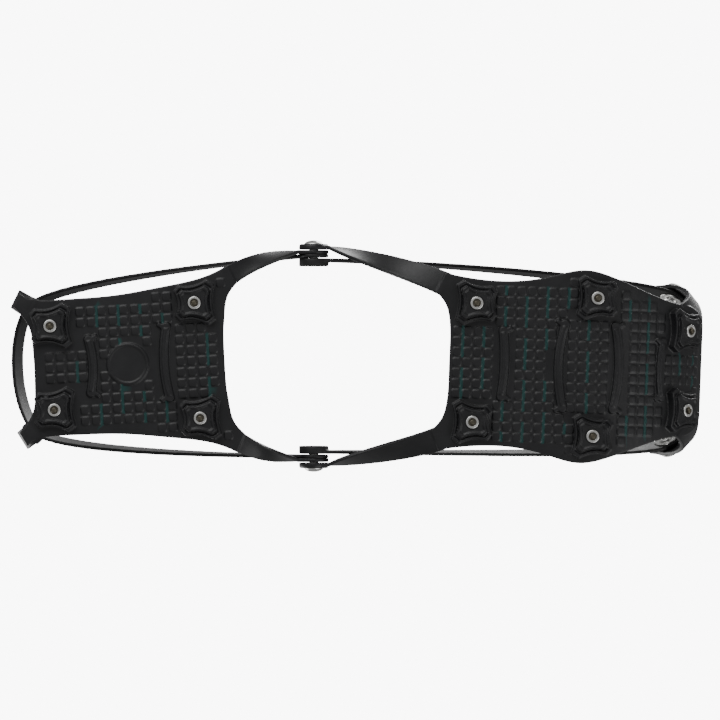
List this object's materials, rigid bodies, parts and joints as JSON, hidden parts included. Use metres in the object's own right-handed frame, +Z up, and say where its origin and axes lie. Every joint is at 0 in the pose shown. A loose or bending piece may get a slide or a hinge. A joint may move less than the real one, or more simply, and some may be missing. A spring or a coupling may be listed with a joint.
{
  "type": "slip-on ice traction device",
  "caption": "Slip-on ice traction for a shoe: two studded plates with arms, hinged at side rivets below a stretch harness with a heel pull tab.",
  "frame": {"origin": "on the ground under the middle of the device, midway between its heel and toe and between its side rivets", "axes": "+X towards the toe, +Y towards the inner side of a right foot, +Z up"},
  "size_m": [0.3013, 0.1002, 0.0696],
  "materials": {
    "plate_plastic": "moulded black urethane, satin, with a knurled field",
    "harness_rubber": "black elastomer, satin",
    "stud_aluminium": "turned, bright",
    "pin_carbide": "ground hard metal, dark grey",
    "rivet_steel": "stainless, bright satin"
  },
  "bodies": {
    "forefoot": {"forefoot_plate": "plate_plastic", "harness_toe": "harness_rubber", "pin_forefoot_middle_inner": "pin_carbide", "pin_forefoot_middle_outer": "pin_carbide", "pin_forefoot_rear_inner": "pin_carbide", "pin_forefoot_rear_outer": "pin_carbide", "pin_forefoot_toe_inner": "pin_carbide", "pin_forefoot_toe_outer": "pin_carbide", "side_rivet_inner": "rivet_steel", "side_rivet_outer": "rivet_steel", "side_washer_inner": "rivet_steel", "side_washer_outer": "rivet_steel", "stud_forefoot_middle_inner": "stud_aluminium", "stud_forefoot_middle_outer": "stud_aluminium", "stud_forefoot_rear_inner": "stud_aluminium", "stud_forefoot_rear_outer": "stud_aluminium", "stud_forefoot_toe_inner": "stud_aluminium", "stud_forefoot_toe_outer": "stud_aluminium", "toe_rivet_inner": "rivet_steel", "toe_rivet_outer": "rivet_steel", "toe_washer_inner": "rivet_steel", "toe_washer_outer": "rivet_steel"},
    "heel": {"harness_heel": "harness_rubber", "heel_plate": "plate_plastic", "heel_rivet_inner": "rivet_steel", "heel_rivet_outer": "rivet_steel", "heel_washer_inner": "rivet_steel", "heel_washer_outer": "rivet_steel", "pin_heel_front_inner": "pin_carbide", "pin_heel_front_outer": "pin_carbide", "pin_heel_rear_inner": "pin_carbide", "pin_heel_rear_outer": "pin_carbide", "stud_heel_front_inner": "stud_aluminium", "stud_heel_front_outer": "stud_aluminium", "stud_heel_rear_inner": "stud_aluminium", "stud_heel_rear_outer": "stud_aluminium"},
    "pull_tab": {"pull_tab": "harness_rubber"}
  },
  "joints": [
    {"name": "midfoot_fold", "type": "hinge", "parent": "forefoot", "child": "heel", "pos_m": [-0.0189, 0, 0.022], "axis": [0, -1, 0], "range_deg": [-90, 70]},
    {"name": "pull_tab_flex", "type": "hinge", "parent": "heel", "child": "pull_tab", "pos_m": [-0.14825, 0.00605, 0.0496], "axis": [-0.0523, -0.9986, 0], "range_deg": [-60, 90], "stiffness_Nm_per_rad": 0.03}
  ]
}
